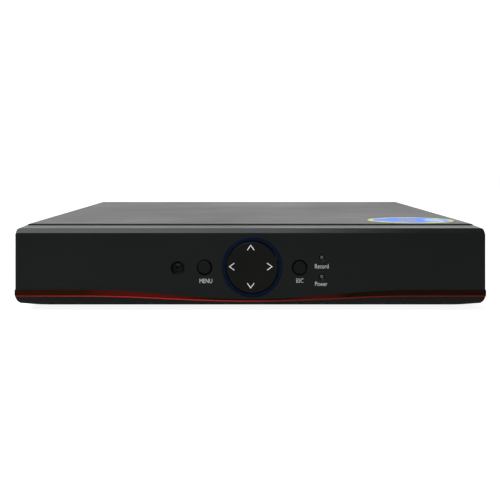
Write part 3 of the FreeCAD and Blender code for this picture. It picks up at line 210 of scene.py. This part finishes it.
PLASTIC = {"bump": 0.25, "depth": 0.00003, "grain": 3000}
PAINTED = {"colour": (0.0300, 0.0300, 0.0288), "rough": 0.42, "spec": 0.10, "grain": 1600, "bump": 0.55,
           "depth": 0.00004}
MATERIALS = {
    "panel_black": finish("panel_black", (0.0034, 0.0043, 0.0040), 0.36, spec=0.185, **PLASTIC),
    "trim_red": trim_red(),
    "ring_blue": finish("ring_blue", (0.0014, 0.0054, 0.0190), 0.22, spec=0.05, grain=600, bump=0.05),
    "key_black": finish("key_black", (0.0050, 0.0051, 0.0044), 0.50, spec=0.09, **PLASTIC),
    "nylon_white": finish("nylon_white", (0.75, 0.74, 0.70), 0.45, **PLASTIC),
    "ir_dark": finish("ir_dark", (0.008, 0.007, 0.008), 0.30, spec=0.11, grain=300, bump=0.03),
    "led_clear": finish("led_clear", (0.05, 0.052, 0.05), 0.15, spec=0.6, grain=300, bump=0.03),
    "board_green": finish("board_green", (0.016, 0.13, 0.045), 0.35, grain=1200, bump=0.2, coat=0.3),
    "switch_black": finish("switch_black", (0.018, 0.018, 0.018), 0.45, **PLASTIC),
    "screw_zinc": finish("screw_zinc", (0.58, 0.57, 0.52), 0.32, metal=1.0, grain=4000),
    "screw_black": finish("screw_black", (0.03, 0.03, 0.03), 0.40, metal=0.6, grain=4000),
    "cover_grey": finish("cover_grey", vary=0.05, **PAINTED),
    "tray_steel": finish("tray_steel", vary=0.07, **PAINTED),
    "foot_rubber": finish("foot_rubber", (0.014, 0.014, 0.014), 0.75, spec=0.3, grain=1500, bump=0.4),
    "label_print": label_print(),
    "chip_black": finish("chip_black", (0.015, 0.015, 0.015), 0.55, **PLASTIC),
    "heatsink_alu": finish("heatsink_alu", (0.62, 0.63, 0.64), 0.34, metal=1.0, stretch=(40, 1, 1),
                           grain=300),
    "capacitor_can": finish("capacitor_can", (0.42, 0.43, 0.45), 0.35, metal=0.7),
    "cell_steel": finish("cell_steel", (0.64, 0.64, 0.62), 0.25, metal=1.0, stretch=(30, 1, 1), grain=300),
    "header_cream": finish("header_cream", (0.70, 0.66, 0.54), 0.48, **PLASTIC),
    "socket_black": finish("socket_black", (0.016, 0.016, 0.016), 0.42, **PLASTIC),
    "barrel_nickel": finish("barrel_nickel", (0.64, 0.61, 0.56), 0.20, metal=1.0, grain=1500, bump=0.06),
    "contact_gold": finish("contact_gold", (0.82, 0.60, 0.25), 0.22, metal=1.0, grain=1500, bump=0.06),
    "shell_tin": finish("shell_tin", (0.62, 0.62, 0.60), 0.30, metal=1.0, stretch=(1, 30, 1), grain=300),
    "insert_blue": finish("insert_blue", (0.016, 0.07, 0.38), 0.42, **PLASTIC),
    "drive_cast": finish("drive_cast", (0.10, 0.10, 0.105), 0.50, metal=0.5, grain=1600, bump=0.4),
    "drive_lid": finish("drive_lid", (0.55, 0.56, 0.57), 0.33, metal=1.0, stretch=(40, 1, 1), grain=300),
    "disc_mirror": finish("disc_mirror", (0.78, 0.78, 0.79), 0.06, metal=1.0, bump=0.01),
    "cable_grey": finish("cable_grey", (0.32, 0.32, 0.32), 0.55, stretch=(6, 1, 1), grain=700, bump=0.4),
    "cable_red": finish("cable_red", (0.35, 0.018, 0.018), 0.42, grain=900),
    "cable_black": finish("cable_black", (0.02, 0.02, 0.02), 0.45, grain=900),
    "plunger_red": finish("plunger_red", (0.42, 0.03, 0.03), 0.42, **PLASTIC),
}
slots = {part["node"]: part["material_slot"] for part in frame["record"]["subparts"]}
for node, shape in frame["nodes"].items():
    shape.data.materials.clear()
    shape.data.materials.append(MATERIALS[slots[node]])

print_white = finish("print_white", (0.93, 0.95, 0.94), 0.50, spec=0.2, grain=2000, bump=0.1)
print_grey = finish("print_grey", (0.50, 0.53, 0.54), 0.50, spec=0.2, grain=2000, bump=0.1)


# ---------------------------------------------------------------- printed marks
INK = 0.01 * MM
PRINT_X, PRINT_Z = RING.x - 0.8 * MM, RING.z + 0.5 * MM     # the print sits a little off the pad's middle


def printed(name, words, x, z, height, width, y, ink, facing=1):
    """Flat lettering scaled to its printed height and width. facing is 1 on the front, -1 on the rear."""
    curve = bpy.data.curves.new(name, "FONT")
    curve.body = words
    curve.extrude = 0.5
    shape = new_object(name, curve)
    bpy.context.view_layer.update()
    mesh = bpy.data.meshes.new_from_object(shape.evaluated_get(bpy.context.evaluated_depsgraph_get()))
    bpy.data.objects.remove(shape)
    corners = [v.co.copy() for v in mesh.vertices]
    low = Vector([min(c[i] for c in corners) for i in range(3)])
    high = Vector([max(c[i] for c in corners) for i in range(3)])
    for vertex in mesh.vertices:
        share = [(vertex.co[i] - low[i]) / (high[i] - low[i]) for i in range(3)]
        vertex.co = (x + facing * (share[0] - 0.5) * width, y - facing * share[2] * INK,
                     z + (share[1] - 0.5) * height)
    mesh.materials.append(ink)
    mark = new_object(name, mesh)
    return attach(mark, "case")


def cap_surface(x, z):
    """Where a line from the front meets the dished face of the direction pad."""
    start, backward = Vector((x, -1, z)), Vector((0, 1, 0))
    return frame["nodes"]["dpad_cap"].ray_cast(start, backward)[1].y


def chevron(name, angle):
    """An arrow head printed on the direction pad, pointing away from its middle."""
    apex, wide, high, stroke = 11.85 * MM, 4.0 * MM, 2.87 * MM, 0.35 * MM
    slope = math.atan2(high, wide / 2)
    inner = stroke / math.cos(slope)
    foot = wide / 2 - stroke * math.sin(slope)
    heel = apex - high - stroke * math.cos(slope)
    outline = [(-wide / 2, apex - high), (0, apex), (wide / 2, apex - high), (foot, heel), (0, apex - inner),
               (-foot, heel)]
    turned = [(u * math.cos(angle) + v * math.sin(angle), v * math.cos(angle) - u * math.sin(angle))
              for u, v in outline]
    count = len(turned)
    back = [(x, cap_surface(x, z), z) for x, z in ((PRINT_X + u, PRINT_Z + v) for u, v in turned)]
    front = [(x, y - INK, z) for x, y, z in back]
    faces = [(0, 5, 4, 1), (1, 4, 3, 2), (6, 7, 10, 11), (7, 8, 9, 10)]
    faces += [(i, (i + 1) % count, count + (i + 1) % count, count + i) for i in range(count)]
    mesh = bpy.data.meshes.new(name)
    mesh.from_pydata(front + back, [], faces)
    mesh.materials.append(print_white)
    mark = new_object(name, mesh)
    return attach(mark, "pad")


# words, place across from the pad, height above the panel's foot, letter height and width, all in mm
LEGENDS = [("MENU", -25.1, 13.1, 2.3, 6.85), ("ESC", 25.85, 13.3, 2.3, 3.8),
           ("Record", 37.7, 21.05, 2.4, 7.35), ("Power", 37.4, 11.5, 2.35, 6.6)]
for words, offset, height, tall, wide in LEGENDS:
    printed("legend_" + words.lower(), words, RING.x + offset * MM, PANEL_BASE + height * MM, tall * MM,
            wide * MM, FACE_Y, print_grey)

for number, name in enumerate(("up", "right", "down", "left")):
    chevron("chevron_" + name, number * math.pi / 2)

ABOVE = 4.2 * MM              # middle of a mark above its socket
BARREL_D = 12.4 * MM
DIGIT_H, WORD_H = 2.6 * MM, 2.4 * MM
DIGIT_WIDTHS = (0.8, 1.7, 1.7, 1.7)     # of 1 to 4, in mm
barrel_low, barrel_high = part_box("bnc_barrels")
pitch = (barrel_high.x - barrel_low.x - BARREL_D) / 3
for number, wide in enumerate(DIGIT_WIDTHS):
    x = barrel_low.x + BARREL_D / 2 + pitch * number
    printed("rear_video_" + str(number + 1), str(number + 1), x, barrel_high.z + ABOVE, DIGIT_H, wide * MM,
            REAR_Y, print_white, -1)
REAR_WORDS = [("audio_shells", "AUDIO", 8.5), ("lan_shield", "LAN", 5.5), ("dc_jack", "DC 12V", 8.5)]
for node, words, wide in REAR_WORDS:
    low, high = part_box(node)
    printed("rear_" + node, words, (low.x + high.x) / 2, high.z + ABOVE, WORD_H, wide * MM, REAR_Y,
            print_white, -1)


# ---------------------------------------------------------------- studio
def plane(name, corners, colour, glow):
    mesh = bpy.data.meshes.new(name)
    mesh.from_pydata(corners, [], [(0, 1, 2, 3)])
    material, tree, shader = new_material(name)
    shader.inputs["Base Color"].default_value = (*colour, 1)
    shader.inputs["Roughness"].default_value = 0.9
    shader.inputs["Specular IOR Level"].default_value = 0.0
    shader.inputs["Emission Color"].default_value = (1, 1, 1, 1)
    shader.inputs["Emission Strength"].default_value = glow
    mesh.materials.append(material)
    shape = new_object(name, mesh)
    return shape


def soften_bounce(shape, glow):
    """The floor is seen white, but throws only this much light of its own back on the object."""
    tree = shape.data.materials[0].node_tree
    path = tree.nodes.new("ShaderNodeLightPath")
    strength = tree.nodes.new("ShaderNodeMapRange")
    strength.inputs["To Min"].default_value = glow
    strength.inputs["To Max"].default_value = FLOOR_WHITE
    tree.links.new(path.outputs["Is Camera Ray"], strength.inputs["Value"])
    tree.links.new(strength.outputs["Result"], tree.nodes["Principled BSDF"].inputs["Emission Strength"])


ROOM_X, ROOM_FRONT, ROOM_BACK, ROOM_TOP = 4, -3, 4, 4     # half width, then places of the walls, in metres
FLOOR_COLOUR = (0.25, 0.25, 0.25)
FLOOR_WHITE = 0.90
FLOOR_BOUNCE = 0.26
WALL_COLOUR = (0.85, 0.85, 0.85)
WALL_WHITE = 1.0


def wall(name, start, end):
    """An upright pale plane over the floor line from start to end."""
    corners = [(*start, 0), (*end, 0), (*end, ROOM_TOP), (*start, ROOM_TOP)]
    return plane(name, corners, WALL_COLOUR, WALL_WHITE)


front_left, front_right = (-ROOM_X, ROOM_FRONT), (ROOM_X, ROOM_FRONT)
back_left, back_right = (-ROOM_X, ROOM_BACK), (ROOM_X, ROOM_BACK)
floor_corners = [(*corner, 0) for corner in (front_left, front_right, back_right, back_left)]
soften_bounce(plane("floor", floor_corners, FLOOR_COLOUR, FLOOR_WHITE), FLOOR_BOUNCE)
wall("backdrop", back_left, back_right)
for name, start, end in (("wall_front", front_left, front_right), ("wall_left", front_left, back_left),
                         ("wall_right", front_right, back_right)):
    shape = wall(name, start, end)     # only closes the view: it lights nothing
    shape.visible_diffuse = False
    shape.visible_glossy = False
    shape.visible_transmission = False
    shape.visible_shadow = False


def softbox(name, place, size, power, colour=(1, 1, 1)):
    data = bpy.data.lights.new(name, "AREA")
    data.shape = "RECTANGLE"
    data.size, data.size_y = size
    data.energy = power
    data.color = colour
    lamp = new_object(name, data)
    lamp.location = place
    lamp.rotation_euler = (Vector((0, 0, 0)) - Vector(place)).to_track_quat("-Z", "Y").to_euler()
    return lamp


softbox("overhead_left", place=(-0.42, -0.06, 1.0), size=(1.3, 1.2), power=30, colour=(0.95, 0.98, 1.0))
softbox("front_above", place=(-0.15, -1.30, 0.85), size=(1.2, 0.8), power=10)

WORLD_LIGHT = 0.12
world = bpy.data.worlds.new("studio")
world.use_nodes = True
world.node_tree.nodes["Background"].inputs["Strength"].default_value = WORLD_LIGHT
bpy.context.scene.world = world
bpy.context.scene.view_settings.view_transform = "Standard"

# ---------------------------------------------------------------- camera
CAMERA_X = -1.48 * MM
CAMERA_DISTANCE = 0.375       # in front of the panel's face
CAMERA_ABOVE_COVER = 0.0365
LENS_MM, SENSOR_MM = 49.83, 36.0
SHIFT_X, SHIFT_Y = 0.0048, -0.181

camera_data = bpy.data.cameras.new("camera")
camera_data.lens = LENS_MM
camera_data.sensor_width = SENSOR_MM
camera_data.shift_x = SHIFT_X
camera_data.shift_y = SHIFT_Y
camera_data.clip_start = 0.01
camera = new_object("camera", camera_data)
camera.location = (CAMERA_X, FACE_Y - CAMERA_DISTANCE, COVER_TOP + CAMERA_ABOVE_COVER)
camera.rotation_euler = (math.pi / 2, 0, 0)
bpy.context.scene.camera = camera
